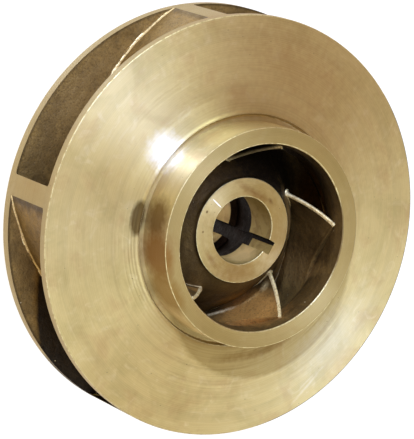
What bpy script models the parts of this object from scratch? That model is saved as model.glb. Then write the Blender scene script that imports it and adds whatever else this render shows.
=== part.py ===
import math

import bmesh
import bpy
from mathutils import Vector

# Driving dimensions, in metres. The axis is Z, the eye faces +Z and the rear boss stands on Z = 0
OUTER_RADIUS = 0.1000
BOSS_HEIGHT = 0.0060
BACK_FLOOR_RIM_Z = 0.0110
BACK_FACE_RING_RADIUS = 0.0560
FRONT_INNER_RIM_Z = 0.0426
FRONT_RIM_Z = 0.0468
GROOVE_EDGE_RADIUS = 0.0551
GROOVE_EDGE_Z = 0.0541
GROOVE_FLOOR_RADIUS = 0.0542
GROOVE_FLOOR_Z = 0.0520
COLLAR_RADIUS = 0.0518
COLLAR_FACE_Z = 0.0719
EYE_RADIUS = 0.0441
EYE_THROAT_RADIUS = 0.0412
EYE_THROAT_Z = 0.0673
HUB_FACE_RADIUS = 0.0250
HUB_FACE_Z = 0.0542
SLEEVE_RADIUS = 0.0262
SLEEVE_TOP_Z = 0.0505
SLEEVE_START_Z = 0.0517
BOSS_RADIUS = 0.0280
BORE_RADIUS = 0.0160
RELIEF_RADIUS = 0.0190
FRONT_LAND_END_Z = 0.0362
REAR_LAND_END_Z = 0.0176
RELIEF_SLOPE = 0.0012
KEY_WIDTH = 0.00635
KEY_TOP_RADIUS = 0.0193
KEY_TURN_DEG = 9.0
CUTTER_OVERRUN = 0.0100
RIM_CHAMFER = 0.0004
BORE_CHAMFER = 0.0005
FACE_CHAMFER = 0.0006
GAP = 0.0003
LINE_STEPS = 4
OUTSIDE_STEPS = 2
JOINT_SLOPE = 0.5
CLEARANCE = 0.0004
SEGMENTS = 72

# Meridional lines of the water passage, as radius and height
FLOOR_LINE = ((0.0265, 0.0502), (0.0320, 0.0448), (0.0380, 0.0368), (0.0460, 0.0268), (0.0600, 0.0180),
              (0.0800, 0.0128), (OUTER_RADIUS, BACK_FLOOR_RIM_Z))
CEILING_LINE = ((EYE_THROAT_RADIUS, EYE_THROAT_Z), (0.0420, 0.0630), (0.0440, 0.0565), (0.0480, 0.0510),
                (0.0550, 0.0476), (0.0640, 0.0456), (0.0800, 0.0439), (OUTER_RADIUS, FRONT_INNER_RIM_Z))
FRONT_OUTSIDE = ((GROOVE_EDGE_RADIUS, GROOVE_EDGE_Z), (0.0580, 0.0528), (0.0640, 0.0512), (0.0720, 0.0499),
                 (0.0840, 0.0484), (OUTER_RADIUS, FRONT_RIM_Z))

# Vanes
VANE_COUNT = 5
VANE_THICKNESS = 0.0034
VANE_EDGE_THICKNESS = 0.0016
VANE_EDGE_SHARE = 0.10
VANE_TIP_DEG = 25.3
VANE_LEAD_FLOOR_DEG = -120.0
VANE_LEAD_CEILING_DEG = -98.4
VANE_TIP_COT = 2.8
VANE_START_FLOOR_RADIUS = 0.0320
VANE_START_CEILING_Z = 0.0663
VANE_STATIONS = 26
VANE_ROWS = 5


def clear_scene():
    for item in list(bpy.data.objects):
        bpy.data.objects.remove(item, do_unlink=True)


def material(name, colour, roughness):
    made = bpy.data.materials.new(name)
    made.use_nodes = True
    shader = made.node_tree.nodes["Principled BSDF"]
    shader.inputs["Base Color"].default_value = (*colour, 1.0)
    shader.inputs["Metallic"].default_value = 1.0
    shader.inputs["Roughness"].default_value = roughness
    return made


def finish(mesh_data, name, surface, sharp_deg=30.0):
    bmesh.ops.recalc_face_normals(mesh_data, faces=mesh_data.faces)
    mesh = bpy.data.meshes.new(name)
    mesh_data.to_mesh(mesh)
    mesh_data.free()
    made = bpy.data.objects.new(name, mesh)
    bpy.context.scene.collection.objects.link(made)
    mesh.materials.append(surface)
    mesh.shade_smooth()
    mesh.set_sharp_from_angle(angle=math.radians(sharp_deg))
    return made


def revolve(name, profile, surface):
    # profile is a closed loop of radius and height round the Z axis
    data = bmesh.new()
    rings = []
    for radius, height in profile:
        ring = []
        for step in range(SEGMENTS):
            turn = 2.0 * math.pi * step / SEGMENTS
            ring.append(data.verts.new((radius * math.sin(turn), radius * math.cos(turn), height)))
        rings.append(ring)
    for here, ring in enumerate(rings):
        after = rings[(here + 1) % len(rings)]
        for step in range(SEGMENTS):
            side = (step + 1) % SEGMENTS
            data.faces.new((ring[step], ring[side], after[side], after[step]))
    return finish(data, name, surface)


def smooth_line(points, per_span):
    # Catmull-Rom curve through the points of a meridional line
    line = [Vector(point) for point in points]
    ends = [2.0 * line[0] - line[1]] + line + [2.0 * line[-1] - line[-2]]
    made = []
    for here in range(1, len(ends) - 2):
        before, start, end, after = ends[here - 1:here + 3]
        for step in range(per_span):
            t = step / per_span
            made.append(0.5 * (2.0 * start + (end - before) * t
                               + (2.0 * before - 5.0 * start + 4.0 * end - after) * t * t
                               + (3.0 * start - before - 3.0 * end + after) * t ** 3))
    made.append(line[-1])
    return made


def resample(line, count):
    # equally spaced points along a polyline
    lengths = [0.0]
    for here in range(1, len(line)):
        lengths.append(lengths[-1] + (line[here] - line[here - 1]).length)
    made = []
    here = 1
    for step in range(count):
        target = lengths[-1] * step / (count - 1)
        while here < len(line) - 1 and lengths[here] < target:
            here += 1
        share = (target - lengths[here - 1]) / (lengths[here] - lengths[here - 1])
        made.append(line[here - 1].lerp(line[here], min(1.0, share)))
    return made


def shifted(line, distance):
    # the line moved sideways, to the left of its direction for a positive distance
    made = []
    for here, point in enumerate(line):
        along = line[min(here + 1, len(line) - 1)] - line[max(here - 1, 0)]
        along.normalize()
        made.append(point + distance * Vector((-along.y, along.x)))
    return made


def pairs(line):
    return [(point.x, point.y) for point in line]


def front_shroud(surface):
    inner = [point for point in smooth_line(CEILING_LINE, LINE_STEPS) if point.x > COLLAR_RADIUS + GAP]
    first = COLLAR_RADIUS + GAP
    outside = smooth_line(FRONT_OUTSIDE, OUTSIDE_STEPS)[:-1]
    profile = [(GROOVE_FLOOR_RADIUS, GROOVE_FLOOR_Z), (first, GROOVE_FLOOR_Z),
               (first, inner[0].y + (inner[0].x - first) * JOINT_SLOPE)]
    profile += pairs(inner)
    profile += [(OUTER_RADIUS, FRONT_RIM_Z - RIM_CHAMFER), (OUTER_RADIUS - RIM_CHAMFER, FRONT_RIM_Z)]
    profile += pairs(reversed(outside))
    return revolve("front_shroud", profile, surface)


def eye_collar(surface):
    inner = [point for point in smooth_line(CEILING_LINE, LINE_STEPS) if point.x < COLLAR_RADIUS]
    low = inner[-1].y - (COLLAR_RADIUS - inner[-1].x) * JOINT_SLOPE
    profile = [(COLLAR_RADIUS, COLLAR_FACE_Z - FACE_CHAMFER), (COLLAR_RADIUS - FACE_CHAMFER, COLLAR_FACE_Z),
               (EYE_RADIUS, COLLAR_FACE_Z), (EYE_RADIUS - FACE_CHAMFER, COLLAR_FACE_Z - FACE_CHAMFER)]
    profile += pairs(inner) + [(COLLAR_RADIUS, low), (COLLAR_RADIUS, GROOVE_FLOOR_Z)]
    return revolve("eye_collar", profile, surface)


def back_shroud(surface):
    inner = smooth_line(FLOOR_LINE, LINE_STEPS)
    first = SLEEVE_RADIUS + GAP
    profile = [(first, BOSS_HEIGHT)] + pairs(inner)
    profile += [(OUTER_RADIUS, BOSS_HEIGHT + RIM_CHAMFER), (OUTER_RADIUS - RIM_CHAMFER, BOSS_HEIGHT),
                (BACK_FACE_RING_RADIUS, BOSS_HEIGHT)]
    return revolve("back_shroud", profile, surface)


def hub(surface):
    relief_low, relief_high = REAR_LAND_END_Z, FRONT_LAND_END_Z
    profile = [(BORE_RADIUS + BORE_CHAMFER, HUB_FACE_Z), (HUB_FACE_RADIUS - RIM_CHAMFER, HUB_FACE_Z),
               (HUB_FACE_RADIUS, HUB_FACE_Z - RIM_CHAMFER), (HUB_FACE_RADIUS, SLEEVE_START_Z),
               (SLEEVE_RADIUS, SLEEVE_TOP_Z), (SLEEVE_RADIUS, BOSS_HEIGHT - GAP),
               (BOSS_RADIUS, BOSS_HEIGHT - GAP), (BOSS_RADIUS, RIM_CHAMFER), (BOSS_RADIUS - RIM_CHAMFER, 0.0),
               (BORE_RADIUS + BORE_CHAMFER, 0.0), (BORE_RADIUS, BORE_CHAMFER), (BORE_RADIUS, relief_low),
               (RELIEF_RADIUS, relief_low + RELIEF_SLOPE), (RELIEF_RADIUS, relief_high - RELIEF_SLOPE),
               (BORE_RADIUS, relief_high), (BORE_RADIUS, HUB_FACE_Z - BORE_CHAMFER)]
    made = revolve("hub", profile, surface)
    cutter = bar_cutter("keyway_cutter", KEY_WIDTH, KEY_TOP_RADIUS, -CUTTER_OVERRUN, HUB_FACE_Z + CUTTER_OVERRUN)
    cut = made.modifiers.new("keyway", "BOOLEAN")
    cut.operation = "DIFFERENCE"
    cut.solver = "EXACT"
    cut.object = cutter
    return made


def bar_cutter(name, width, reach, low, high):
    # a bar from the axis out to the key seat, turned to its place round the bore
    data = bmesh.new()
    bmesh.ops.create_cube(data, size=1.0)
    for vert in data.verts:
        vert.co = Vector((vert.co.x * width, (vert.co.y + 0.5) * reach, low + (vert.co.z + 0.5) * (high - low)))
    turn = math.radians(-KEY_TURN_DEG)
    for vert in data.verts:
        x, y = vert.co.x, vert.co.y
        vert.co.x = x * math.cos(turn) - y * math.sin(turn)
        vert.co.y = x * math.sin(turn) + y * math.cos(turn)
    mesh = bpy.data.meshes.new(name)
    data.to_mesh(mesh)
    data.free()
    made = bpy.data.objects.new(name, mesh)
    bpy.context.scene.collection.objects.link(made)
    made.hide_render = True
    made.display_type = "WIRE"
    return made


def wrap_angles(line, lead, tip):
    # angle along a meridional line: the blade slope changes evenly from the lead to the tip
    weights, shares = [], []
    for here in range(1, len(line)):
        middle = 0.5 * (line[here].x + line[here - 1].x)
        weights.append((line[here] - line[here - 1]).length / middle)
        shares.append((here - 0.5) / (len(line) - 1))
    whole = sum(weights)
    rising = sum(weight * share for weight, share in zip(weights, shares))
    start_cot = (tip - lead - VANE_TIP_COT * rising) / (whole - rising)
    angles = [lead]
    for weight, share in zip(weights, shares):
        angles.append(angles[-1] + weight * (start_cot + (VANE_TIP_COT - start_cot) * share))
    return angles


def vane_lines():
    floor = shifted(smooth_line(FLOOR_LINE, LINE_STEPS), CLEARANCE)
    floor = [point for point in floor if point.x >= VANE_START_FLOOR_RADIUS]
    ceiling = shifted(smooth_line(CEILING_LINE, LINE_STEPS), -CLEARANCE)
    ceiling = [point for point in ceiling if point.y <= VANE_START_CEILING_Z]
    floor, ceiling = resample(floor, VANE_STATIONS), resample(ceiling, VANE_STATIONS)
    floor[-1].x = ceiling[-1].x = OUTER_RADIUS
    return floor, ceiling


def camber(turn):
    # grid of radius, height and angle for one vane, from the floor row up to the ceiling row
    floor, ceiling = vane_lines()
    tip = math.radians(VANE_TIP_DEG) + turn
    low = wrap_angles(floor, math.radians(VANE_LEAD_FLOOR_DEG) + turn, tip)
    high = wrap_angles(ceiling, math.radians(VANE_LEAD_CEILING_DEG) + turn, tip)
    grid = []
    for station in range(VANE_STATIONS):
        row = []
        for level in range(VANE_ROWS):
            share = level / (VANE_ROWS - 1)
            point = floor[station].lerp(ceiling[station], share)
            row.append((point.x, point.y, low[station] + (high[station] - low[station]) * share))
        grid.append(row)
    return grid


def place(radius, height, angle):
    return Vector((radius * math.sin(angle), radius * math.cos(angle), height))


def half_turn(grid, station, level):
    # half the vane's thickness as an angle about the axis, so both sides end on the same cylinder
    last, top = len(grid) - 1, len(grid[0]) - 1
    along = place(*grid[min(station + 1, last)][level]) - place(*grid[max(station - 1, 0)][level])
    up = place(*grid[station][min(level + 1, top)]) - place(*grid[station][max(level - 1, 0)])
    normal = along.cross(up).normalized()
    radius, height, angle = grid[station][level]
    sideways = Vector((math.cos(angle), -math.sin(angle), 0.0))
    share = min(1.0, station / (last * VANE_EDGE_SHARE))
    thickness = VANE_EDGE_THICKNESS + (VANE_THICKNESS - VANE_EDGE_THICKNESS) * share
    return 0.5 * thickness / (radius * abs(normal.dot(sideways)))


def edge_loop():
    # stations and levels round the border of the camber grid, in order
    last, top = VANE_STATIONS - 1, VANE_ROWS - 1
    return ([(station, 0) for station in range(last)] + [(last, level) for level in range(top)]
            + [(station, top) for station in range(last, 0, -1)] + [(0, level) for level in range(top, 0, -1)])


def vane(number, surface):
    grid = camber(2.0 * math.pi * (number - 1) / VANE_COUNT)
    data = bmesh.new()
    sides = []
    for sign in (-1.0, 1.0):
        side = {}
        for station in range(VANE_STATIONS):
            for level in range(VANE_ROWS):
                radius, height, angle = grid[station][level]
                turned = angle + sign * half_turn(grid, station, level)
                side[station, level] = data.verts.new(place(radius, height, turned))
        for station in range(VANE_STATIONS - 1):
            for level in range(VANE_ROWS - 1):
                data.faces.new((side[station, level], side[station + 1, level],
                                side[station + 1, level + 1], side[station, level + 1]))
        sides.append(side)
    # the edge has a middle row, so it follows the round shrouds
    border = edge_loop()
    middle = [data.verts.new(place(*grid[station][level])) for station, level in border]
    for here, spot in enumerate(border):
        after = (here + 1) % len(border)
        for side in sides:
            data.faces.new((side[spot], side[border[after]], middle[after], middle[here]))
    return finish(data, "vane_%d" % number, surface)


clear_scene()
turned = material("turned_bronze", (0.62, 0.50, 0.30), 0.35)
cast = material("cast_bronze", (0.28, 0.19, 0.11), 0.65)
front_shroud(turned)
eye_collar(turned)
back_shroud(turned)
hub(turned)
for index in range(VANE_COUNT):
    vane(index + 1, cast)
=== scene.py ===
import math

import bmesh
import bpy
from mathutils import Matrix, Vector, noise


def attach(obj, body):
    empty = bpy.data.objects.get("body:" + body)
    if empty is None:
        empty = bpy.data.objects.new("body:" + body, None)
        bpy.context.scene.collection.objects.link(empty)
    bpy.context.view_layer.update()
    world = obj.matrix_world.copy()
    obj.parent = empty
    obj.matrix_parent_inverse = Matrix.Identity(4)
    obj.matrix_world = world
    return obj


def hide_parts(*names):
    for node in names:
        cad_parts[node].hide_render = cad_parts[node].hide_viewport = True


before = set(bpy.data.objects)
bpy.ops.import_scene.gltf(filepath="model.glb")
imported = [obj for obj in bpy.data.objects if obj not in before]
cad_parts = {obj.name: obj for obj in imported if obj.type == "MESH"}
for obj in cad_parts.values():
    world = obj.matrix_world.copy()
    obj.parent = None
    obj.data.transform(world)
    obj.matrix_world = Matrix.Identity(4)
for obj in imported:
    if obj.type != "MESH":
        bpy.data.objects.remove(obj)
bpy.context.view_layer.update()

MM = 0.001

# Sizes in metres, as in the part's source. Only the throat, the ceiling beside it and the foot of the front
# face differ: here they follow the photograph more closely
OUTER_RADIUS = 0.1000
BOSS_HEIGHT = 0.0060
BACK_FLOOR_RIM_Z = 0.0110
FRONT_INNER_RIM_Z = 0.0426
FRONT_RIM_Z = 0.0468
GROOVE_EDGE_RADIUS = 0.0551
GROOVE_EDGE_Z = 0.0541
GROOVE_FLOOR_RADIUS = 0.0542
GROOVE_FLOOR_Z = 0.0520
COLLAR_RADIUS = 0.0518
COLLAR_FACE_Z = 0.0719
EYE_RADIUS = 0.0441
EYE_THROAT_RADIUS = 0.0430
EYE_THROAT_Z = 0.0673
HUB_FACE_RADIUS = 0.0250
HUB_FACE_Z = 0.0542
SLEEVE_RADIUS = 0.0262
SLEEVE_TOP_Z = 0.0505
SLEEVE_START_Z = 0.0517
BOSS_RADIUS = 0.0280
BORE_RADIUS = 0.0160
RELIEF_RADIUS = 0.0190
FRONT_LAND_END_Z = 0.0362
REAR_LAND_END_Z = 0.0176
RELIEF_SLOPE = 0.0012
KEY_WIDTH = 0.00635
KEY_TOP_RADIUS = 0.0193
KEY_TURN_DEG = 9.0
FLOOR_LINE = ((0.0265, 0.0502), (0.0320, 0.0448), (0.0380, 0.0368), (0.0460, 0.0268), (0.0600, 0.0180),
              (0.0800, 0.0128), (OUTER_RADIUS, BACK_FLOOR_RIM_Z))
CEILING_LINE = ((EYE_THROAT_RADIUS, EYE_THROAT_Z), (0.0434, 0.0630), (0.0450, 0.0565), (0.0484, 0.0510),
                (0.0550, 0.0476), (0.0640, 0.0456), (0.0800, 0.0439), (OUTER_RADIUS, FRONT_INNER_RIM_Z))
FRONT_OUTSIDE = ((GROOVE_EDGE_RADIUS, GROOVE_EDGE_Z), (0.0563, 0.0533), (0.0580, 0.0527), (0.0640, 0.0512),
                 (0.0720, 0.0499), (0.0840, 0.0484), (OUTER_RADIUS, FRONT_RIM_Z))
VANE_COUNT = 5
VANE_THICKNESS = 0.0034
VANE_EDGE_THICKNESS = 0.0016
VANE_EDGE_SHARE = 0.10
VANE_TIP_DEG = 25.3
VANE_LEAD_FLOOR_DEG = -120.0
VANE_LEAD_CEILING_DEG = -98.4
VANE_TIP_COT = 2.8
VANE_START_FLOOR_RADIUS = 0.0320
VANE_START_CEILING_Z = 0.0663
CLEARANCE = 0.0004

# How finely the finished pieces are drawn
TURN_STEPS = 288
LINE_STEPS = 9
EASE_STEPS = 4
BLADE_LINE_STEPS = 40
BLADE_WRAP_STEPS = 400
BLADE_STATIONS = 150
BLADE_NOSE_STATIONS = 6
BLADE_ROWS = 20
FILLET_STEPS = 6
TIP_COLUMNS = 6
MERGE_DISTANCE = 0.002 * MM
SHARP_FROM_DEG = 32.0
BLADE_SHARP_FROM_DEG = 40.0

# How far to each side, as a share of the blade's length and of its height, its direction is measured
BLADE_RUN_SPAN = 0.004
BLADE_RISE_SPAN = 0.02

# Rounded corners: the usual radius of a machined one, and how far past the rounding, as a share of it, a point
# keeps the face beside it flat
EDGE_EASE = 0.45 * MM
EASE_HOLD = 0.6

# The vane as cast: how deep its roots go into the shrouds, its nose, its root fillets, which waver in width, and
# where its last stretch begins to turn flush with the rims
SINK = 0.0005
NOSE_LENGTH = 0.0009
FILLET_RADIUS = 0.0014
FILLET_RAG = 0.45
FILLET_WAVES = 22.0
TIP_FILLET_RADIUS = 0.0009
NOSE_FILLET_SHARE = 0.15
NOSE_FILLET_LEAST = 0.2
TIP_BLEND_SHARE = 0.86
SKIN_FADE = 3.0 * MM

# Low waves in its skin: how many to a metre, an offset that makes the two sides differ, and their height
SKIN_WAVES = ((130.0, (9.0, 0.0, 0.0), 0.22 * MM), (420.0, (0.0, 5.0, 0.0), 0.07 * MM))

# Where a file has cleaned it: the nose, and a ragged line along its root on the floor, counted in rows of points
DRESSED_LENGTH = 0.0018
FILED_FROM = 2.6
FILED_RAG = 1.7
FILED_WAVES = 30.0
FILED_TO = 7

# The lathe's second pass on the front face: where it began, how deep it cut, over what length it ran in
PASS_RADIUS = 0.0632
PASS_STEP = 0.00008
PASS_RUN_IN = 0.3 * MM

# Painted shadow along one wall of the keyway, cast by that wall
KEYWAY_SHADOW_WIDTH = 0.0016

# The lathe's rings lie this many times closer together on an upright side than on a face
HEIGHT_FEED = 1.7

# Radii between which one finish goes over into another
RIM_BLEND = (0.0995, 0.0998)
FOOT_BLEND = (0.0500, 0.0530)
# painted shade inside the eye, and a dark line at each outlet
EYE_SHADE_BLEND = (0.0520, 0.0450)
OUTLET_DARK_BLEND = (0.0986, 0.0994)

# The round edge of the collar's shadow from the key lamp, painted darker on the front face at the collar's foot: a
# painted shadow
COLLAR_SHADOW_CENTRE = (0.0155, 0.0199, 0.0500)
COLLAR_SHADOW_REACH = (0.0516, 0.0516, 0.0300)

# Finishes, in the order of every piece's material slots
TURNED, CAST, DRESSED, WORN, CORED_AND_SHADE, BORED, RUNNING = range(7)

# Marks of known place, from one table for each finish. Each row gives colour and strength, then centre, reach and
# turn about the axis in mm and degrees, then softness, and last a tilt in degrees where there is one

# Marks of handling and tarnish on the turned faces, and some painted light and shade
HANDLING_AND_LIGHT_MARKS = (
    # the end faces of the collar and of the hub, duller than the rest
    ("A2864A", 0.6, (0.0, 0.0, 71.9), (60.0, 60.0, 1.2), 0.0, 0.1),
    ("A8803A", 0.7, (-1.0, 7.0, 54.2), (29.0, 28.0, 1.5), 0.0, 0.6),
    # smudges on the front face at the collar's foot
    ("8A6C38", 0.45, (46.0, 38.6, 51.0), (18.0, 5.5, 8.0), -50.0, 0.6),
    ("7A5824", 0.75, (46.5, 40.0, 53.0), (9.0, 2.4, 5.0), -50.0, 1.2),
    ("86642C", 0.7, (56.0, 24.5, 53.0), (10.0, 2.2, 5.0), -66.0, 1.2),
    # a painted highlight near the rim, and two scratches across it
    ("DDD5C2", 0.3, (34.7, 74.3, 48.5), (27.0, 12.0, 6.0), 155.0, 0.9),
    ("FFF6E0", 0.35, (58.4, 72.2, 48.0), (9.7, 0.7, 3.0), 158.3, 1.2),
    ("FFF6E0", 0.25, (56.4, 71.0, 48.0), (5.0, 0.5, 3.0), 153.0, 1.2),
    # a broad brown darkening over one side of the front face
    ("A87C48", 0.55, (-78.0, -2.0, 49.0), (34.0, 62.0, 12.0), -8.0, 0.9),
    # a painted dark reflection and a painted highlight, both beside the collar
    ("583E10", 0.85, (12.0, -55.0, 53.0), (8.6, 3.8, 6.0), 11.8, 0.25),
    ("FFFFFF", 0.55, (-20.6, -54.4, 53.0), (7.5, 7.5, 6.0), 0.0, 1.0),
    # painted shadow on the rear rim, where it is turned away from the key lamp
    ("2A1C10", 0.7, (95.4, -30.0, 9.3), (22.0, 5.0, 4.2), 72.5, 0.3),
    # duller places on the hub's face, on one vane's tip and on the front face
    ("94662A", 0.45, (18.7, 8.3, 54.2), (12.0, 6.0, 1.5), 115.0, 0.8),
    ("A8843C", 0.35, (18.0, -99.0, 27.0), (9.0, 6.0, 18.0), 0.0, 1.0),
    ("A88E54", 0.3, (46.0, -64.0, 49.0), (20.0, 16.0, 6.0), 0.0, 1.2),
    # tarnish on the side of the collar
    ("785420", 0.8, (9.0, -51.5, 61.5), (11.0, 3.5, 9.5), 11.0, 0.5),
    ("9C6E34", 0.85, (25.0, -45.2, 65.0), (12.0, 5.0, 14.0), 29.0, 0.4),
    ("A07A3C", 0.8, (39.0, -34.0, 65.0), (12.0, 5.0, 14.0), 49.0, 0.4),
    # a scratch, stains and two pits on the hub's face
    ("FFF6DC", 1.0, (-7.4, -18.7, 54.2), (3.3, 0.3, 1.0), 69.9, 0.12),
    ("8A5A2C", 0.6, (-18.4, -2.0, 54.2), (9.0, 1.6, 2.0), 82.0, 1.0),
    ("7A4E24", 0.6, (-17.6, 8.6, 54.2), (1.6, 0.9, 1.0), 60.0, 0.8),
    ("9A6A38", 0.5, (17.6, -10.4, 54.2), (5.0, 1.4, 1.0), 58.0, 1.0),
    ("6A4A24", 0.8, (-2.0, -22.2, 54.2), (0.7, 0.6, 1.0), 0.0, 0.4),
    ("7A5A30", 0.7, (7.3, -20.2, 54.2), (0.6, 0.5, 1.0), 0.0, 0.4),
)

# Places where the cast skin is painted blacker or brighter: painted shade, painted light, and darker and brighter
# stretches
SKIN_LIGHT_AND_SHADE_MARKS = (
    # painted shade on one side of the eye, where the collar keeps the lamp's light out
    ("0A0604", 0.92, (-41.0, 12.0, 45.0), (28.0, 50.0, 34.0), 0.0, 0.4),
    # painted light on the roots and sides of the vanes in the eye, where the key lamp falls on them; one row is a
    # filed root line, painted as bright as it shines
    ("C09654", 0.95, (-2.0, 38.6, 37.0), (26.0, 3.4, 24.0), 40.0, 0.9),
    ("BC8844", 0.95, (33.0, 23.5, 50.0), (18.0, 7.0, 18.0), -52.0, 0.4),
    ("B08040", 0.6, (33.4, -9.4, 49.5), (3.6, 5.0, 3.6), 0.0, 0.4),
    ("FFE0A0", 1.0, (39.5, 17.2, 36.0), (7.8, 1.8, 1.5), 139.0, 0.8, -35.8),
    ("D0A45E", 0.7, (28.9, 24.8, 44.3), (6.5, 1.4, 0.9), 151.4, 0.9, -26.4),
    ("E8C888", 0.8, (20.6, 28.3, 46.8), (2.2, 2.0, 1.6), 0.0, 1.2),
    # painted shadow on the floor of one passage and at its vane's tip, where the front shroud shades them from the
    # key lamp
    ("100A07", 0.92, (58.4, -37.8, 11.5), (60.0, 26.8, 6.0), 26.6, 0.04),
    ("100A07", 0.8, (98.0, -15.0, 18.0), (5.0, 5.0, 12.0), 0.0, 0.6),
    # brighter and darker stretches of the passages near the rim
    ("B89458", 0.4, (-27.8, -84.5, 11.8), (28.0, 14.0, 8.0), -18.0, 1.0),
    ("C0A268", 0.4, (-77.0, -58.0, 27.0), (16.0, 16.0, 16.0), 0.0, 1.0),
    ("3A2A10", 0.3, (8.0, -92.0, 11.3), (20.0, 12.0, 8.0), -5.0, 1.0),
    ("3A2A14", 0.3, (45.0, -80.0, 11.5), (22.0, 12.0, 6.0), 30.0, 1.0),
)

# Painted shade on the filed vane edges that lie in shaded parts of the eye
EDGE_SHADE_MARKS = (
    ("0A0604", 0.8, (-38.0, -13.0, 55.0), (13.0, 16.0, 16.0), 0.0, 0.4),
    ("0A0604", 0.95, (-36.0, 52.0, 24.0), (18.0, 26.0, 16.0), 0.0, 0.3),
)

# Painted light on the two lands of the bore, where the lamp falls through the bore
BORE_LIGHT_MARKS = (
    ("F4CE84", 0.8, (11.5, 11.5, 44.5), (8.5, 6.0, 9.0), -45.0, 0.5),
    ("DCB474", 0.5, (-7.0, 14.4, 12.3), (10.0, 8.0, 6.0), 0.0, 1.0),
)

# Corners that are dull, not bright: half of the front rim's, painted shade where it turns away from the lamps, and a
# stretch of the eye's
CORNER_SHADE_AND_DULL_MARKS = (
    ("4E4632", 0.85, (0.0, 100.0, 46.8), (110.0, 66.0, 2.5), 0.0, 0.1),
    ("6E5430", 0.8, (-14.0, 42.0, 71.5), (22.0, 10.0, 2.0), 18.0, 0.4),
)


def linear(code):
    # an sRGB hex colour as linear light
    parts = [int(code[here:here + 2], 16) / 255.0 for here in (0, 2, 4)]
    return [part / 12.92 if part <= 0.04045 else ((part + 0.055) / 1.055) ** 2.4 for part in parts] + [1.0]


def add(tree, kind, links=None, **settings):
    # one node with its settings; links gives each socket a value or another node's output
    made = tree.nodes.new(kind)
    for name, value in settings.items():
        setattr(made, name, value)
    for socket, value in (links or {}).items():
        if isinstance(value, bpy.types.NodeSocket):
            tree.links.new(value, made.inputs[socket])
        else:
            made.inputs[socket].default_value = value
    return made


def smooth_line(points, per_span=LINE_STEPS):
    # Catmull-Rom curve through the points of a meridional line, as in the part's source
    line = [Vector(point) for point in points]
    ends = [2.0 * line[0] - line[1]] + line + [2.0 * line[-1] - line[-2]]
    made = []
    for here in range(1, len(ends) - 2):
        before, start, end, after = ends[here - 1:here + 3]
        for step in range(per_span):
            t = step / per_span
            made.append(0.5 * (2.0 * start + (end - before) * t
                               + (2.0 * before - 5.0 * start + 4.0 * end - after) * t * t
                               + (3.0 * start - before - 3.0 * end + after) * t ** 3))
    made.append(line[-1])
    return made


def bronze(name, roughness, metal=1.0):
    # a metal with its default IOR; the nodes that follow give its colour, roughness and bump
    made = bpy.data.materials.new(name)
    made.use_nodes = True
    shader = made.node_tree.nodes["Principled BSDF"]
    shader.inputs["Metallic"].default_value = metal
    shader.inputs["Roughness"].default_value = roughness
    return made, made.node_tree, shader


def on_the_lathe(tree):
    # a point's place, the way outward and the way round from the axis, and how far the tool has fed
    place = add(tree, "ShaderNodeTexCoord").outputs["Object"]
    flat = add(tree, "ShaderNodeVectorMath", {0: place, 1: (1.0, 1.0, 0.0)}, operation="MULTIPLY").outputs[0]
    outward = add(tree, "ShaderNodeVectorMath", {0: flat}, operation="NORMALIZE").outputs[0]
    round_way = add(tree, "ShaderNodeVectorMath", {0: (0.0, 0.0, 1.0), 1: outward}, operation="CROSS_PRODUCT")
    radius = add(tree, "ShaderNodeVectorMath", {0: flat}, operation="LENGTH").outputs["Value"]
    height = add(tree, "ShaderNodeSeparateXYZ", {0: place}).outputs[2]
    feed = add(tree, "ShaderNodeMath", {0: height, 1: HEIGHT_FEED, 2: radius}, operation="MULTIPLY_ADD").outputs[0]
    return place, outward, round_way.outputs[0], radius, feed


def patches(tree, place, size, low, high, detail=4.0, warp=0.5):
    # soft-edged blotches of about one size, from 0 to 1
    cloud = add(tree, "ShaderNodeTexNoise", {"Vector": place, "Scale": 1.0 / size, "Detail": detail,
                                             "Roughness": 0.6, "Distortion": warp}).outputs[0]
    return add(tree, "ShaderNodeMapRange", {0: cloud, 1: low, 2: high}).outputs[0]


def pinholes(tree, place, pitch, radius, share):
    # small round pits: one in each cell of a given pitch, in that share of the cells
    cells = add(tree, "ShaderNodeTexVoronoi", {"Vector": place, "Scale": 1.0 / pitch})
    spot = add(tree, "ShaderNodeMapRange", {0: cells.outputs["Distance"], 1: 0.6 * radius / pitch,
                                            2: 1.2 * radius / pitch, 3: 1.0, 4: 0.0}).outputs[0]
    lot = add(tree, "ShaderNodeSeparateXYZ", {0: cells.outputs["Color"]}).outputs[0]
    drawn = add(tree, "ShaderNodeMath", {0: lot, 1: share}, operation="LESS_THAN").outputs[0]
    return add(tree, "ShaderNodeMath", {0: spot, 1: drawn}, operation="MULTIPLY").outputs[0]


def mark(tree, place, centre, reach, turn, soft, tilt=0.0):
    # one mark of known place: an ellipsoid with soft, slightly ragged edges
    local = add(tree, "ShaderNodeMapping", {"Vector": place, "Location": centre, "Rotation": (0.0, tilt, turn),
                                            "Scale": reach}, vector_type="TEXTURE").outputs[0]
    away = add(tree, "ShaderNodeVectorMath", {0: local}, operation="LENGTH").outputs["Value"]
    rag = add(tree, "ShaderNodeTexNoise", {"Vector": place, "Scale": 1.0 / (2.5 * MM), "Detail": 2.0}).outputs[0]
    away = add(tree, "ShaderNodeMath", {0: rag, 1: soft, 2: away}, operation="MULTIPLY_ADD").outputs[0]
    return add(tree, "ShaderNodeMapRange", {0: away, 1: 1.0 - 0.5 * soft, 2: 1.0 + soft, 3: 1.0, 4: 0.0}).outputs[0]


def tinted(tree, colour, code, share, most):
    # a colour turned towards another by a share, to the most that is given
    much = add(tree, "ShaderNodeMath", {0: share, 1: most}, operation="MULTIPLY").outputs[0]
    return add(tree, "ShaderNodeMix", {0: much, 6: colour, 7: linear(code)}, data_type="RGBA").outputs[2]


def marked(tree, colour, place, marks):
    # a colour with the marks of a table laid over it
    for code, most, centre, reach, turn, soft, *tilt in marks:
        spot = mark(tree, place, [value * MM for value in centre], [value * MM for value in reach],
                    math.radians(turn), soft, *map(math.radians, tilt))
        colour = tinted(tree, colour, code, spot, most)
    return colour


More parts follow.
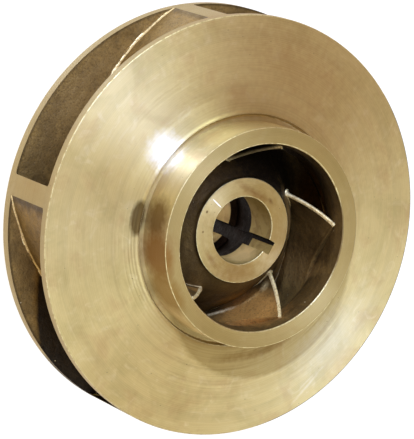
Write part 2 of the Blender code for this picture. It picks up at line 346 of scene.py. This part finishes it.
def turned_bronze(name, roughest, grain):
    # Gunmetal skimmed on a lathe: satin, pale gold, with fine rings round the axis that draw each
    # highlight out along the radius, and handling stains of olive and pinkish brown. The real rings are
    # 0.2 mm apart, too fine to show, so they are drawn 1 mm apart
    made, tree, shader = bronze(name, 0.5, 0.88)
    place, outward, round_way, radius, feed = on_the_lathe(tree)
    rings, bands, grooves = [
        add(tree, "ShaderNodeTexNoise", {"W": feed, "Scale": 1.0 / (size * MM), "Detail": detail},
            noise_dimensions="1D").outputs[0] for size, detail in ((1.0, 2.0), (5.0, 1.0), (0.35, 1.0))]
    # scuffs run along the rings, 1.6 mm apart and a seventh of a radius long
    wound = add(tree, "ShaderNodeVectorMath", {0: outward, 1: (7.0, 7.0, 7.0)}, operation="MULTIPLY").outputs[0]
    lift = add(tree, "ShaderNodeCombineXYZ", {"Z": feed}).outputs[0]
    lift = add(tree, "ShaderNodeVectorMath", {0: lift, 1: (0.0, 0.0, 1.0 / (1.6 * MM))},
               operation="MULTIPLY").outputs[0]
    wound = add(tree, "ShaderNodeVectorMath", {0: wound, 1: lift}).outputs[0]
    scuffs = add(tree, "ShaderNodeTexNoise", {"Vector": wound, "Scale": 1.0, "Detail": 3.0}).outputs[0]
    # clouds of olive, pinkish brown and pale gold
    colour = add(tree, "ShaderNodeRGB").outputs[0]
    colour.default_value = linear("DAC288")
    colour = tinted(tree, colour, "B09A60", patches(tree, place, 24.0 * MM, 0.47, 0.68), 0.4)
    shifted = add(tree, "ShaderNodeVectorMath", {0: place, 1: (0.55, 0.2, 0.4)}).outputs[0]
    colour = tinted(tree, colour, "C09464", patches(tree, shifted, 15.0 * MM, 0.53, 0.70), 0.35)
    colour = tinted(tree, colour, "EFDDB2", patches(tree, shifted, 9.0 * MM, 0.56, 0.72, 5.0, 1.0), 0.35)
    # dark and bright scuffs, bands of the feed, and the browner rims
    for code, source, start, full, most in (("8F7A4C", scuffs, 0.58, 0.8, 0.12),
                                            ("FBEFCE", scuffs, 0.4, 0.22, 0.13),
                                            ("A08A5C", bands, 0.5, 0.8, 0.2),
                                            ("A48C64", radius, *RIM_BLEND, 0.6)):
        share = add(tree, "ShaderNodeMapRange", {0: source, 1: start, 2: full}).outputs[0]
        colour = tinted(tree, colour, code, share, most)
    # painted shadow: the collar's shadow on the front face, darker inside a crisp round edge beyond the collar's
    # foot
    collar_shadow = mark(tree, place, COLLAR_SHADOW_CENTRE, COLLAR_SHADOW_REACH, 0.0, 0.03)
    foot = add(tree, "ShaderNodeMapRange", {0: radius, 1: FOOT_BLEND[0], 2: FOOT_BLEND[1]}).outputs[0]
    collar_shadow = add(tree, "ShaderNodeMath", {0: collar_shadow, 1: foot}, operation="MULTIPLY").outputs[0]
    colour = tinted(tree, colour, "9E8248", collar_shadow, 0.6)
    colour = marked(tree, colour, place, HANDLING_AND_LIGHT_MARKS)
    pits = pinholes(tree, place, 3.2 * MM, 0.22 * MM, 0.16)
    colour = tinted(tree, colour, "4A3820", pits, 0.75)
    tree.links.new(colour, shader.inputs["Base Color"])
    rough = add(tree, "ShaderNodeMapRange",
                {0: grooves, 1: 0.36, 2: 0.60, 3: roughest - 0.24, 4: roughest}).outputs[0]
    rough = add(tree, "ShaderNodeMath", {0: scuffs, 1: 0.08, 2: rough}, operation="MULTIPLY_ADD").outputs[0]
    tree.links.new(rough, shader.inputs["Roughness"])
    relief = add(tree, "ShaderNodeMath", {0: scuffs, 1: 0.35, 2: rings}, operation="MULTIPLY_ADD").outputs[0]
    relief = add(tree, "ShaderNodeMath", {0: pits, 1: -3.0, 2: relief}, operation="MULTIPLY_ADD").outputs[0]
    bump = add(tree, "ShaderNodeBump", {"Strength": 0.5, "Distance": 0.025 * MM, "Height": relief}).outputs[0]
    tree.links.new(bump, shader.inputs["Normal"])
    tree.links.new(round_way, shader.inputs["Tangent"])
    shader.inputs["Anisotropic"].default_value = grain
    shader.inputs["Anisotropic Rotation"].default_value = 0.25
    return made


def rubbed(name, colour, low_spots, size, roughness, metal, marks=()):
    # bronze with its high places rubbed bright and its low spots left dull, each about as wide as size
    made, tree, shader = bronze(name, roughness, metal)
    place = add(tree, "ShaderNodeTexCoord").outputs["Object"]
    whole = add(tree, "ShaderNodeRGB").outputs[0]
    whole.default_value = linear(colour)
    spots = patches(tree, place, size, 0.46, 0.64)
    colour = marked(tree, tinted(tree, whole, low_spots, spots, 0.65), place, marks)
    tree.links.new(colour, shader.inputs["Base Color"])
    rough = add(tree, "ShaderNodeMapRange", {0: spots, 3: roughness, 4: roughness + 0.14}).outputs[0]
    tree.links.new(rough, shader.inputs["Roughness"])
    bump = add(tree, "ShaderNodeBump", {"Strength": 0.5, "Distance": 0.03 * size, "Height": spots}).outputs[0]
    tree.links.new(bump, shader.inputs["Normal"])
    return made


def sand_cast(name, skin, rubbed_spots, dark, grain_height, shade=0.0, marks=(), metal=0.35):
    # The skin that moulding sand leaves: a brown oxide that hides most of the metal's shine, low lumps,
    # pinholes and rubbed spots. The sand's 0.3 mm grain is drawn at 0.9 mm, to show
    made, tree, shader = bronze(name, 0.5, metal)
    shader.inputs["Specular IOR Level"].default_value = 0.25
    place, radius = on_the_lathe(tree)[::3]
    grain = add(tree, "ShaderNodeTexNoise", {"Vector": place, "Scale": 1.0 / (0.9 * MM), "Detail": 3.0,
                                             "Roughness": 0.65}).outputs[0]
    lumps = add(tree, "ShaderNodeTexNoise", {"Vector": place, "Scale": 1.0 / (3.5 * MM), "Detail": 3.0}).outputs[0]
    colour = add(tree, "ShaderNodeRGB").outputs[0]
    colour.default_value = linear(skin)
    colour = tinted(tree, colour, dark, patches(tree, place, 11.0 * MM, 0.42, 0.66), 0.5)
    colour = tinted(tree, colour, rubbed_spots, patches(tree, place, 6.0 * MM, 0.50, 0.74, 3.0, 0.2), 0.32)
    # painted shade deep in the eye, and a dark line along each outlet
    for code, (start, full) in (("28160A", EYE_SHADE_BLEND), ("33240F", OUTLET_DARK_BLEND)):
        share = add(tree, "ShaderNodeMapRange", {0: radius, 1: start, 2: full}).outputs[0]
        colour = tinted(tree, colour, code, share, shade)
    colour = marked(tree, colour, place, marks)
    hollows = add(tree, "ShaderNodeMapRange", {0: grain, 1: 0.5, 2: 0.3}).outputs[0]
    colour = tinted(tree, colour, dark, hollows, 0.55)
    sparks = pinholes(tree, place, 4.0 * MM, 0.3 * MM, 0.22)
    colour = tinted(tree, colour, "E8D2A0", sparks, 0.8)
    tree.links.new(colour, shader.inputs["Base Color"])
    rough = add(tree, "ShaderNodeMapRange", {0: lumps, 1: 0.3, 2: 0.7, 3: 0.4, 4: 0.6}).outputs[0]
    tree.links.new(rough, shader.inputs["Roughness"])
    relief = add(tree, "ShaderNodeMath", {0: lumps, 1: 2.0, 2: grain}, operation="MULTIPLY_ADD").outputs[0]
    bump = add(tree, "ShaderNodeBump", {"Strength": 0.8, "Distance": grain_height, "Height": relief}).outputs[0]
    tree.links.new(bump, shader.inputs["Normal"])
    return made


def eased(rows):
    # A closed outline of radius, height, finish and corner radius, with its corners rounded off. A finish
    # belongs to the stretch that starts at its point
    made = []
    for here, (radius, height, finish, ease) in enumerate(rows):
        point = Vector((radius, height))
        if not ease:
            made.append((point, finish))
            continue
        before, after = Vector(rows[here - 1][:2]), Vector(rows[(here + 1) % len(rows)][:2])
        back, ahead = (before - point).normalized(), (after - point).normalized()
        corner = WORN if TURNED in (finish, rows[here - 1][2]) else CAST
        made.append((point + back * ease * (1.0 + EASE_HOLD), rows[here - 1][2]))
        for step in range(EASE_STEPS + 1):
            t = step / EASE_STEPS
            spot = point + back * ease * (1.0 - t) ** 2 + ahead * ease * t ** 2
            made.append((spot, corner if step < EASE_STEPS else finish))
        made.append((point + ahead * ease * (1.0 + EASE_HOLD), finish))
    return made


def finished(data, name, finishes):
    # a mesh with its doubles merged, its faces outward and smooth, and its materials on
    bmesh.ops.remove_doubles(data, verts=data.verts, dist=MERGE_DISTANCE)
    bmesh.ops.recalc_face_normals(data, faces=data.faces)
    mesh = bpy.data.meshes.new(name)
    data.to_mesh(mesh)
    data.free()
    made = bpy.data.objects.new(name, mesh)
    bpy.context.scene.collection.objects.link(made)
    for finish in finishes:
        mesh.materials.append(finish)
    mesh.shade_smooth()
    mesh.set_sharp_from_angle(angle=math.radians(SHARP_FROM_DEG))
    return made


def lathed(outline):
    # the outline turned round the Z axis
    data = bmesh.new()
    rings = []
    for point, _ in outline:
        ring = []
        for step in range(TURN_STEPS):
            turn = 2.0 * math.pi * step / TURN_STEPS
            ring.append(data.verts.new((point.x * math.sin(turn), point.x * math.cos(turn), point.y)))
        rings.append(ring)
    for here, ring in enumerate(rings):
        after = rings[(here + 1) % len(rings)]
        for step in range(TURN_STEPS):
            side = (step + 1) % TURN_STEPS
            face = data.faces.new((ring[step], ring[side], after[side], after[step]))
            face.material_index = outline[here][1]
    return data


def front_shroud(finishes):
    # the dished disc: passage ceiling, rim, turned face and the groove at the collar's foot
    ceiling = [point for point in smooth_line(CEILING_LINE) if point.x > COLLAR_RADIUS]
    outside = [Vector((point.x, point.y - lathe_pass(point.x))) for point in smooth_line(FRONT_OUTSIDE)]
    rows = [(COLLAR_RADIUS, GROOVE_FLOOR_Z, CAST, 0), (COLLAR_RADIUS, seam_height(), CAST, 0)]
    rows += [(point.x, point.y, CAST, 0) for point in ceiling[:-1]]
    rows += [(OUTER_RADIUS, FRONT_INNER_RIM_Z, TURNED, 0), (OUTER_RADIUS, FRONT_RIM_Z, TURNED, EDGE_EASE)]
    rows += [(point.x, point.y, TURNED, 0) for point in reversed(outside[1:-1])]
    rows += [(GROOVE_EDGE_RADIUS, GROOVE_EDGE_Z, TURNED, 0.3 * MM),
             (GROOVE_FLOOR_RADIUS, GROOVE_FLOOR_Z, TURNED, 0.3 * MM)]
    return finished(lathed(eased(rows)), "front_shroud_casting", finishes)


def lathe_pass(radius):
    # how far below the plain line the second lathe pass left the face, fading out towards the rim
    begun = min(1.0, max(0.0, (radius - PASS_RADIUS) / PASS_RUN_IN))
    return PASS_STEP * begun * (OUTER_RADIUS - radius) / (OUTER_RADIUS - PASS_RADIUS)


def seam_height():
    # the height of the passage ceiling where the shroud meets the collar
    line = smooth_line(CEILING_LINE)
    for before, after in zip(line, line[1:]):
        if before.x <= COLLAR_RADIUS <= after.x:
            share = (COLLAR_RADIUS - before.x) / (after.x - before.x)
            return before.y + (after.y - before.y) * share


def eye_collar(finishes):
    # the collar with its turned end and side, and the cast eye inside it down to the seam
    throat = [point for point in smooth_line(CEILING_LINE) if point.x < COLLAR_RADIUS]
    rows = [(COLLAR_RADIUS, COLLAR_FACE_Z, TURNED, 0.35 * MM), (EYE_RADIUS, COLLAR_FACE_Z, CAST, 0.5 * MM)]
    rows += [(throat[0].x, throat[0].y, CAST, 0.8 * MM)]
    rows += [(point.x, point.y, CAST, 0) for point in throat[3:]]
    rows += [(COLLAR_RADIUS, seam_height(), CAST, 0), (COLLAR_RADIUS, GROOVE_FLOOR_Z, RUNNING, 0)]
    return finished(lathed(eased(rows)), "eye_collar_casting", finishes)


def back_shroud(finishes):
    # the rear disc, whose cast floor rises to the sleeve; its back is a plain turned face
    floor = smooth_line(FLOOR_LINE)
    rows = [(SLEEVE_RADIUS, BOSS_HEIGHT, CAST, 0), (SLEEVE_RADIUS, SLEEVE_TOP_Z, CAST, 0)]
    rows += [(point.x, point.y, CAST, 0) for point in floor[:-1]]
    rows += [(OUTER_RADIUS, BACK_FLOOR_RIM_Z, TURNED, 0), (OUTER_RADIUS, BOSS_HEIGHT, TURNED, EDGE_EASE)]
    return finished(lathed(eased(rows)), "back_shroud_casting", finishes)


def hub(finishes):
    # the sleeve: two reamed lands with a cored relief between them, and a keyway cut through all three
    low, high = REAR_LAND_END_Z, FRONT_LAND_END_Z
    rows = [(BORE_RADIUS, HUB_FACE_Z, TURNED, EDGE_EASE), (HUB_FACE_RADIUS, HUB_FACE_Z, CAST, 0.35 * MM),
            (HUB_FACE_RADIUS, SLEEVE_START_Z, CAST, 0.8 * MM), (SLEEVE_RADIUS, SLEEVE_TOP_Z, CAST, 0),
            (SLEEVE_RADIUS, BOSS_HEIGHT, TURNED, 0), (BOSS_RADIUS, BOSS_HEIGHT, TURNED, 0),
            (BOSS_RADIUS, 0.0, TURNED, EDGE_EASE), (BORE_RADIUS, 0.0, BORED, EDGE_EASE),
            (BORE_RADIUS, low, CORED_AND_SHADE, 0.2 * MM), (RELIEF_RADIUS, low + RELIEF_SLOPE, CORED_AND_SHADE, 0),
            (RELIEF_RADIUS, high - RELIEF_SLOPE, CORED_AND_SHADE, 0), (BORE_RADIUS, high, BORED, 0.2 * MM)]
    made = finished(lathed(eased(rows)), "keyed_hub_casting", finishes)
    cutter = keyway_bar(finishes)
    cut = made.modifiers.new("keyway", "BOOLEAN")
    cut.operation, cut.solver, cut.object = "DIFFERENCE", "EXACT", cutter
    shaped = bpy.data.meshes.new_from_object(made.evaluated_get(bpy.context.evaluated_depsgraph_get()))
    made.modifiers.clear()
    made.data = shaped
    shaped.name = made.name
    bpy.data.objects.remove(cutter)
    shaped.set_sharp_from_angle(angle=math.radians(SHARP_FROM_DEG))
    return made


def keyway_bar(finishes):
    # the bar that cuts the keyway. Only the front of it, apart from a strip of painted shadow along one wall, leaves
    # clean metal
    data = bmesh.new()
    bmesh.ops.create_cube(data, size=1.0)
    size = Matrix.Diagonal((KEY_WIDTH, KEY_TOP_RADIUS, HUB_FACE_Z * 2.0, 1.0))
    turn = Matrix.Rotation(math.radians(-KEY_TURN_DEG), 4, "Z")
    data.transform(turn @ Matrix.Translation((0.0, KEY_TOP_RADIUS / 2.0, HUB_FACE_Z / 2.0)) @ size)
    across = turn @ Vector((1.0, 0.0, 0.0))
    shadow_edge = KEYWAY_SHADOW_WIDTH - KEY_WIDTH / 2.0
    for spot, way in (((0.0, 0.0, FRONT_LAND_END_Z), (0.0, 0.0, 1.0)), (across * shadow_edge, across)):
        everything = data.verts[:] + data.edges[:] + data.faces[:]
        bmesh.ops.bisect_plane(data, geom=everything, plane_co=spot, plane_no=way)
    for face in data.faces:
        middle = face.calc_center_median()
        # the strip beside one wall takes the dark finish: a painted shadow
        clean = middle.z > FRONT_LAND_END_Z and middle.dot(across) > shadow_edge
        face.material_index = BORED if clean else CORED_AND_SHADE
    return finished(data, "keyway_bar", finishes)


def along_line(points, clearance, keep):
    # a passage line set off by a clearance and cut to the stretch that a vane covers
    line = smooth_line(points, BLADE_LINE_STEPS)
    made = []
    for here, point in enumerate(line):
        run = (line[min(here + 1, len(line) - 1)] - line[max(here - 1, 0)]).normalized()
        made.append(point + clearance * Vector((-run.y, run.x)))
    made = [point for point in made if keep(point)]
    made[-1].x = OUTER_RADIUS
    lengths = [0.0]
    for before, after in zip(made, made[1:]):
        lengths.append(lengths[-1] + (after - before).length)
    return made, [length / lengths[-1] for length in lengths], lengths[-1]


def read_line(line, share):
    # the point at a share of a line's length
    points, shares, _ = line
    here = next((n for n in range(1, len(shares)) if shares[n] >= share), len(shares) - 1)
    t = (share - shares[here - 1]) / (shares[here] - shares[here - 1])
    return points[here - 1].lerp(points[here], min(1.0, t))


def wrap_law(line, lead, tip):
    # the angle reached at any share of a passage line: the blade's slope changes evenly from lead to tip
    count = BLADE_WRAP_STEPS
    points = [read_line(line, n / count) for n in range(count + 1)]
    weights = [(b - a).length / (0.5 * (a.x + b.x)) for a, b in zip(points, points[1:])]
    shares = [(n + 0.5) / count for n in range(count)]
    whole, rising = sum(weights), sum(w * s for w, s in zip(weights, shares))
    start_cot = (tip - lead - VANE_TIP_COT * rising) / (whole - rising)
    angles = [lead]
    for weight, share in zip(weights, shares):
        angles.append(angles[-1] + weight * (start_cot + (VANE_TIP_COT - start_cot) * share))

    def angle(share):
        spot = min(share, 1.0) * count
        here = min(int(spot), count - 1)
        return angles[here] + (angles[here + 1] - angles[here]) * (spot - here)
    return angle


def wander(share, waves, seed):
    # a number that drifts between about -1 and 1 along the blade
    return noise.noise(Vector((share * waves, *seed)))


def blade_rows(whole, fillets, last):
    # from the floor's root to the ceiling's: how far each row is from the floor, and how far the fillet
    # spreads it. The roots sink into the shrouds, except at the tip, which is flush with the rims
    rows = [(0.0 if last else -SINK, fillets[0])]
    for step in range(FILLET_STEPS):
        bend = math.pi / 2.0 * (1.0 - step / FILLET_STEPS)
        rows.append((fillets[0] * (1.0 - math.sin(bend)), fillets[0] * (1.0 - math.cos(bend))))
    for step in range(BLADE_ROWS + 1):
        rows.append((fillets[0] + (whole - sum(fillets)) * step / BLADE_ROWS, 0.0))
    for step in range(1, FILLET_STEPS + 1):
        bend = math.pi / 2.0 * step / FILLET_STEPS
        rows.append((whole - fillets[1] * (1.0 - math.sin(bend)), fillets[1] * (1.0 - math.cos(bend))))
    rows.append((whole if last else whole + SINK, fillets[1]))
    return rows


def blade_mesh():
    # One vane as sand makes it: a rounded nose, root fillets of uneven width, a slightly wavy skin, and
    # an outer edge turned flush with the rims
    floor = along_line(FLOOR_LINE, CLEARANCE, lambda point: point.x >= VANE_START_FLOOR_RADIUS)
    ceiling = along_line(CEILING_LINE, -CLEARANCE, lambda point: point.y <= VANE_START_CEILING_Z)
    tip = math.radians(VANE_TIP_DEG)
    low = wrap_law(floor, math.radians(VANE_LEAD_FLOOR_DEG), tip)
    high = wrap_law(ceiling, math.radians(VANE_LEAD_CEILING_DEG), tip)

    def camber(share, level):
        spot = read_line(floor, share).lerp(read_line(ceiling, share), level)
        angle = low(share) + (high(share) - low(share)) * level
        return Vector((spot.x * math.sin(angle), spot.x * math.cos(angle), spot.y))

    bends = [math.pi / 2.0 * n / BLADE_NOSE_STATIONS for n in range(BLADE_NOSE_STATIONS + 1)]
    stations = [0.5 * NOSE_LENGTH / floor[2] * (1.0 - math.cos(bend)) for bend in bends]
    nose_share = stations[-1]
    stations += [nose_share + (1.0 - nose_share) * n / BLADE_STATIONS for n in range(1, BLADE_STATIONS + 1)]
    data = bmesh.new()
    dressed = {}
    sides = ([], [])
    for number, share in enumerate(stations):
        height = (read_line(ceiling, share) - read_line(floor, share)).length
        near = min(1.0, max(0.0, (share - TIP_BLEND_SHARE) / (1.0 - TIP_BLEND_SHARE)))
        flush = near * near * (3.0 - 2.0 * near)
        ragged = FILLET_RADIUS * (1.0 + FILLET_RAG * wander(share, FILLET_WAVES, (3.1, 7.7)))
        fillets = [radius + (TIP_FILLET_RADIUS - radius) * near for radius in (ragged, FILLET_RADIUS)]
        fillets[1] *= NOSE_FILLET_LEAST + (1.0 - NOSE_FILLET_LEAST) * min(1.0, share / NOSE_FILLET_SHARE)
        filed_from = FILED_FROM + FILED_RAG * wander(share, FILED_WAVES, (8.4, 1.6))
        for side in sides:
            side.append([])
        rows = blade_rows(height + 2.0 * CLEARANCE, fillets, number == len(stations) - 1)
        for row, (depth, spread) in enumerate(rows):
            level = (depth - CLEARANCE) / height
            here = camber(share, level)
            run = (camber(min(1.0, share + BLADE_RUN_SPAN), level)
                   - camber(max(0.0, share - BLADE_RUN_SPAN), level))
            rise = camber(share, level + BLADE_RISE_SPAN) - camber(share, level - BLADE_RISE_SPAN)
            normal = run.cross(rise).normalized()
            travel = (here - camber(0.0, level)).length
            body = VANE_EDGE_THICKNESS + (VANE_THICKNESS - VANE_EDGE_THICKNESS) * min(1.0, share / VANE_EDGE_SHARE)
            bluff = min(1.0, travel / NOSE_LENGTH)
            half = (0.5 * body + spread) * math.sqrt(max(0.0, 1.0 - (1.0 - bluff) ** 2))
            radius = math.hypot(here.x, here.y)
            round_way = Vector((here.y / radius, -here.x / radius, 0.0))
            facing = 1.0 if normal.dot(round_way) > 0.0 else -1.0
            fade = (1.0 - flush) * min(1.0, travel / SKIN_FADE) * (0.0 if spread else 1.0)
            for side, sign in zip(sides, (-1.0, 1.0)):
                wave = sum(noise.noise(here * pitch + sign * Vector(offset)) * most
                           for pitch, offset, most in SKIN_WAVES)
                spot = here + normal * (facing * sign * (half * (1.0 - flush) + wave * fade))
                if flush > 0.0:
                    # near the tip the side swings round the axis instead, and ends on the outside radius
                    swing = sign * half * flush / (radius * abs(normal.dot(round_way)))
                    reach = math.hypot(spot.x, spot.y)
                    angle = math.atan2(spot.x, spot.y) + swing
                    reach = reach + (radius - reach) * flush
                    spot = Vector((reach * math.sin(angle), reach * math.cos(angle), spot.z))
                vert = data.verts.new(spot)
                side[-1].append(vert)
                dressed[vert] = travel < DRESSED_LENGTH or filed_from < row <= FILED_TO
    machined_layer = data.faces.layers.int.new("machined")
    dressed_layer = data.faces.layers.int.new("dressed")

    def face(verts, machined=0):
        made = data.faces.new(verts)
        made[machined_layer] = machined
        made[dressed_layer] = int(all(dressed.get(vert, False) for vert in verts))

    left, right = sides
    last_row = len(left[0]) - 1
    for side in sides:
        for before, after in zip(side, side[1:]):
            for row in range(last_row):
                face((before[row], after[row], after[row + 1], before[row + 1]))
    for number in range(len(stations) - 1):
        for row in (0, last_row):
            face((left[number][row], left[number + 1][row], right[number + 1][row], right[number][row]))
    for row in range(last_row):
        face((left[0][row], left[0][row + 1], right[0][row + 1], right[0][row]))
    columns = []
    for start, end in zip(left[-1], right[-1]):
        first, final = math.atan2(start.co.x, start.co.y), math.atan2(end.co.x, end.co.y)
        column = [start]
        for step in range(1, TIP_COLUMNS):
            angle = first + (final - first) * step / TIP_COLUMNS
            height = start.co.z + (end.co.z - start.co.z) * step / TIP_COLUMNS
            column.append(data.verts.new((OUTER_RADIUS * math.sin(angle), OUTER_RADIUS * math.cos(angle), height)))
        columns.append(column + [end])
    for before, after in zip(columns, columns[1:]):
        for step in range(TIP_COLUMNS):
            face((before[step], before[step + 1], after[step + 1], after[step]), 1)
    return data


def ring_of_vanes(finishes):
    # the one blade repeated round the axis by Geometry Nodes, then made a plain mesh
    blade = finished(blade_mesh(), "vane_blade", [])
    tree = bpy.data.node_groups.new("ring_of_vanes", "GeometryNodeTree")
    wanted = (("Blade", "NodeSocketGeometry"), ("Vanes", "NodeSocketInt"), ("Pitch", "NodeSocketFloat"),
              ("As cast", "NodeSocketMaterial"), ("Turned", "NodeSocketMaterial"), ("Dressed", "NodeSocketMaterial"))
    sockets = {name: tree.interface.new_socket(name=name, in_out="INPUT", socket_type=kind) for name, kind in wanted}
    tree.interface.new_socket(name="Geometry", in_out="OUTPUT", socket_type="NodeSocketGeometry")
    given = add(tree, "NodeGroupInput").outputs
    points = add(tree, "GeometryNodePoints", {"Count": given["Vanes"]}).outputs[0]
    number = add(tree, "GeometryNodeInputIndex").outputs[0]
    turn = add(tree, "ShaderNodeMath", {0: number, 1: given["Pitch"]}, operation="MULTIPLY").outputs[0]
    spin = add(tree, "ShaderNodeCombineXYZ", {"Z": turn}).outputs[0]
    placed = add(tree, "GeometryNodeInstanceOnPoints",
                 {"Points": points, "Instance": given["Blade"], "Rotation": spin}).outputs[0]
    body = add(tree, "GeometryNodeRealizeInstances", {0: placed}).outputs[0]
    body = add(tree, "GeometryNodeSetMaterial", {"Geometry": body, "Material": given["As cast"]}).outputs[0]
    for name, finish in (("machined", "Turned"), ("dressed", "Dressed")):
        chosen = add(tree, "GeometryNodeInputNamedAttribute", {"Name": name}, data_type="INT").outputs[0]
        body = add(tree, "GeometryNodeSetMaterial",
                   {"Geometry": body, "Selection": chosen, "Material": given[finish]}).outputs[0]
    add(tree, "NodeGroupOutput", {0: body})
    ring = blade.modifiers.new("ring_of_vanes", "NODES")
    ring.node_group = tree
    for name, value in (("Vanes", VANE_COUNT), ("Pitch", -2.0 * math.pi / VANE_COUNT), ("As cast", finishes[CAST]),
                        ("Turned", finishes[TURNED]), ("Dressed", finishes[DRESSED])):
        ring[sockets[name].identifier] = value
    mesh = bpy.data.meshes.new_from_object(blade.evaluated_get(bpy.context.evaluated_depsgraph_get()))
    bpy.data.objects.remove(blade)
    mesh.name = "vane_castings"
    made = bpy.data.objects.new("vane_castings", mesh)
    bpy.context.scene.collection.objects.link(made)
    mesh.set_sharp_from_angle(angle=math.radians(BLADE_SHARP_FROM_DEG))
    return made


# The floor's half width in metres, how much its paper shines by itself, and the strength of the room's light
FLOOR_HALF_WIDTH = 3.0
PAPER_GLOW = 0.95
ROOM_LIGHT = 0.42

# Camera fitted to the rim, collar, eye and hub circles of the photograph
CAMERA_PLACE = (0.00124, -0.77554, 1.19068)
CAMERA_TURN_DEG = (-13.631, -31.004, 115.21)
CAMERA_LENS_MM = 243.1
CAMERA_REACH = 20.0

# Lights, all round and facing the part: name, direction, diameter in metres, watts, colour. The first is small
# and hard, for the collar's crisp shadow on the front face; the others are softboxes
SOFTBOXES = (
    ("key_lamp", (-0.461, -0.590, 0.663), 0.06, 10.20, "B6CAFF"),
    ("key_softbox", (-0.37, -0.37, 0.85), 0.55, 6.80, "8BAEFF"),
    ("left_softbox", (-0.75, -0.24, 0.62), 0.55, 3.50, "DCF9FF"),
    ("right_softbox", (0.53, 0.00, 0.85), 0.55, 3.00, "D1EBFF"),
    ("near_softbox", (0.00, -0.97, 0.24), 0.55, 0.95, "F3FFC0"),
    ("far_softbox", (0.10, 0.76, 0.64), 0.35, 1.70, "B8D4FF"),
    ("far_right_softbox", (0.28, 0.70, 0.66), 0.35, 0.90, "D0EAFF"),
    ("far_low_softbox", (0.00, 0.92, 0.40), 0.50, 0.75, "E5FFF7"),
    ("high_softbox", (0.30, 0.50, 0.81), 0.30, 0.61, "EEFFF7"),
    ("top_softbox", (0.24, -0.14, 0.96), 0.35, 2.10, "BED8FF"),
    ("glint_softbox", (-0.12, -0.20, 0.97), 0.25, 0.70, "F0FFAF"),
)
SOFTBOX_DISTANCE = 1.2


def studio_floor():
    # white seamless paper under the part, so evenly lit that it shows as one pale tone
    data = bmesh.new()
    bmesh.ops.create_grid(data, x_segments=1, y_segments=1, size=FLOOR_HALF_WIDTH)
    made = finished(data, "studio_floor", [])
    paper = bpy.data.materials.new("white_paper")
    paper.use_nodes = True
    shader = paper.node_tree.nodes["Principled BSDF"]
    shader.inputs["Base Color"].default_value = linear("6E6C69")
    shader.inputs["Roughness"].default_value = 0.9
    shader.inputs["Emission Color"].default_value = linear("FFFFFF")
    shader.inputs["Emission Strength"].default_value = PAPER_GLOW
    made.data.materials.append(paper)


def camera():
    lens = bpy.data.cameras.new("camera")
    lens.sensor_fit, lens.sensor_width = "AUTO", 36.0
    lens.lens, lens.clip_end = CAMERA_LENS_MM, CAMERA_REACH
    made = bpy.data.objects.new("camera", lens)
    made.location = CAMERA_PLACE
    made.rotation_euler = [math.radians(value) for value in CAMERA_TURN_DEG]
    bpy.context.scene.collection.objects.link(made)
    bpy.context.scene.camera = made


def soft_light(name, towards, size, power, colour):
    # a round light that faces the part from a direction
    lamp = bpy.data.lights.new(name, "AREA")
    lamp.shape, lamp.size, lamp.energy, lamp.color = "DISK", size, power, linear(colour)[:3]
    made = bpy.data.objects.new(name, lamp)
    way = Vector(towards).normalized()
    made.location = way * SOFTBOX_DISTANCE
    made.rotation_euler = way.to_track_quat("Z", "Y").to_euler()
    bpy.context.scene.collection.objects.link(made)


def lights():
    # a warm room with the cooler lights of the table over it
    world = bpy.data.worlds.new("studio")
    world.use_nodes = True
    background = world.node_tree.nodes["Background"]
    background.inputs["Color"].default_value = linear("FFD9A1")
    background.inputs["Strength"].default_value = ROOM_LIGHT
    bpy.context.scene.world = world
    for softbox in SOFTBOXES:
        soft_light(*softbox)
    bpy.context.scene.view_settings.view_transform = "Standard"


camera()
lights()
studio_floor()
finishes = [
    turned_bronze("satin_turned_bronze", 0.56, 0.8),
    sand_cast("sand_cast_bronze", "90703A", "C89C50", "4A361A", 0.3 * MM, 0.6, SKIN_LIGHT_AND_SHADE_MARKS),
    # a cast edge or root cleaned up with a file: brighter than the skin round it
    rubbed("filed_bronze", "FFE4A4", "A88244", 1.6 * MM, 0.45, 0.5, EDGE_SHADE_MARKS),
    # a machined corner rubbed bright by handling
    rubbed("rubbed_corner_bronze", "DECB96", "A88C54", 2.2 * MM, 0.42, 1.0, CORNER_SHADE_AND_DULL_MARKS),
    # the skin inside the cored bore, darkened by the core sand and painted nearly black as shade of the deep recess;
    # the keyway's painted shadow uses it too
    sand_cast("cored_and_shaded_bronze", "20140A", "301C0E", "0C0704", 0.2 * MM, metal=1.0),
    # the reamed lands of the bore, oiled and warm
    rubbed("reamed_bronze", "B4964E", "947236", 5.0 * MM, 0.46, 0.5, BORE_LIGHT_MARKS),
    # the collar's running surface, turned with a finer feed, so that each highlight is a narrow upright streak
    turned_bronze("fine_turned_bronze", 0.64, 1.0),
]
for make, slot, nodes in ((front_shroud, "turned_bronze", ("front_shroud",)),
                          (eye_collar, "turned_bronze", ("eye_collar",)),
                          (back_shroud, "turned_bronze", ("back_shroud",)),
                          (hub, "turned_bronze", ("hub",)),
                          (ring_of_vanes, "cast_bronze", ["vane_%d" % (n + 1) for n in range(VANE_COUNT)])):
    piece = make(finishes)
    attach(piece, "root")
    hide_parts(*nodes)
